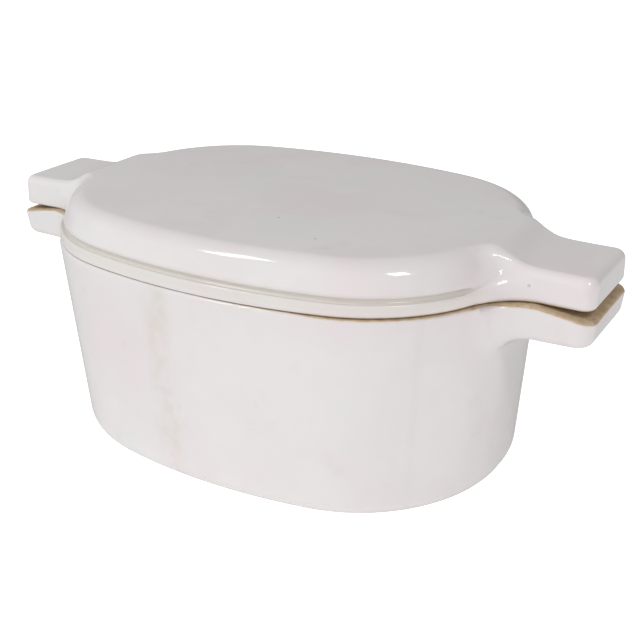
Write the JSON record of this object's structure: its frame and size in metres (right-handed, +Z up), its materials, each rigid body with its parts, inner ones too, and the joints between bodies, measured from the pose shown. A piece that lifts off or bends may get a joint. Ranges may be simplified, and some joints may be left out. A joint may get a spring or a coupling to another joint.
{
  "type": "lidded oval casserole",
  "caption": "Deep oval stoneware casserole with tab handles at both ends and a flat-topped lid, with matching tabs, that lifts straight off.",
  "frame": {"origin": "centre of the foot ring, on the plane the pot stands on", "axes": "+Z up, X from handle to handle, Y across the dish"},
  "size_m": [0.3424, 0.191, 0.1328],
  "materials": {
    "glazed_stoneware": "glossy off-white glaze, bare tan clay on the rim, the handle tops and the foot ring"
  },
  "bodies": {
    "pot": {"pot": "glazed_stoneware"},
    "lid": {"lid": "glazed_stoneware"}
  },
  "joints": [
    {"name": "lid_lift", "type": "slide", "parent": "pot", "child": "lid", "axis": [0, 0, 1], "range_m": [0, 0.12]}
  ]
}
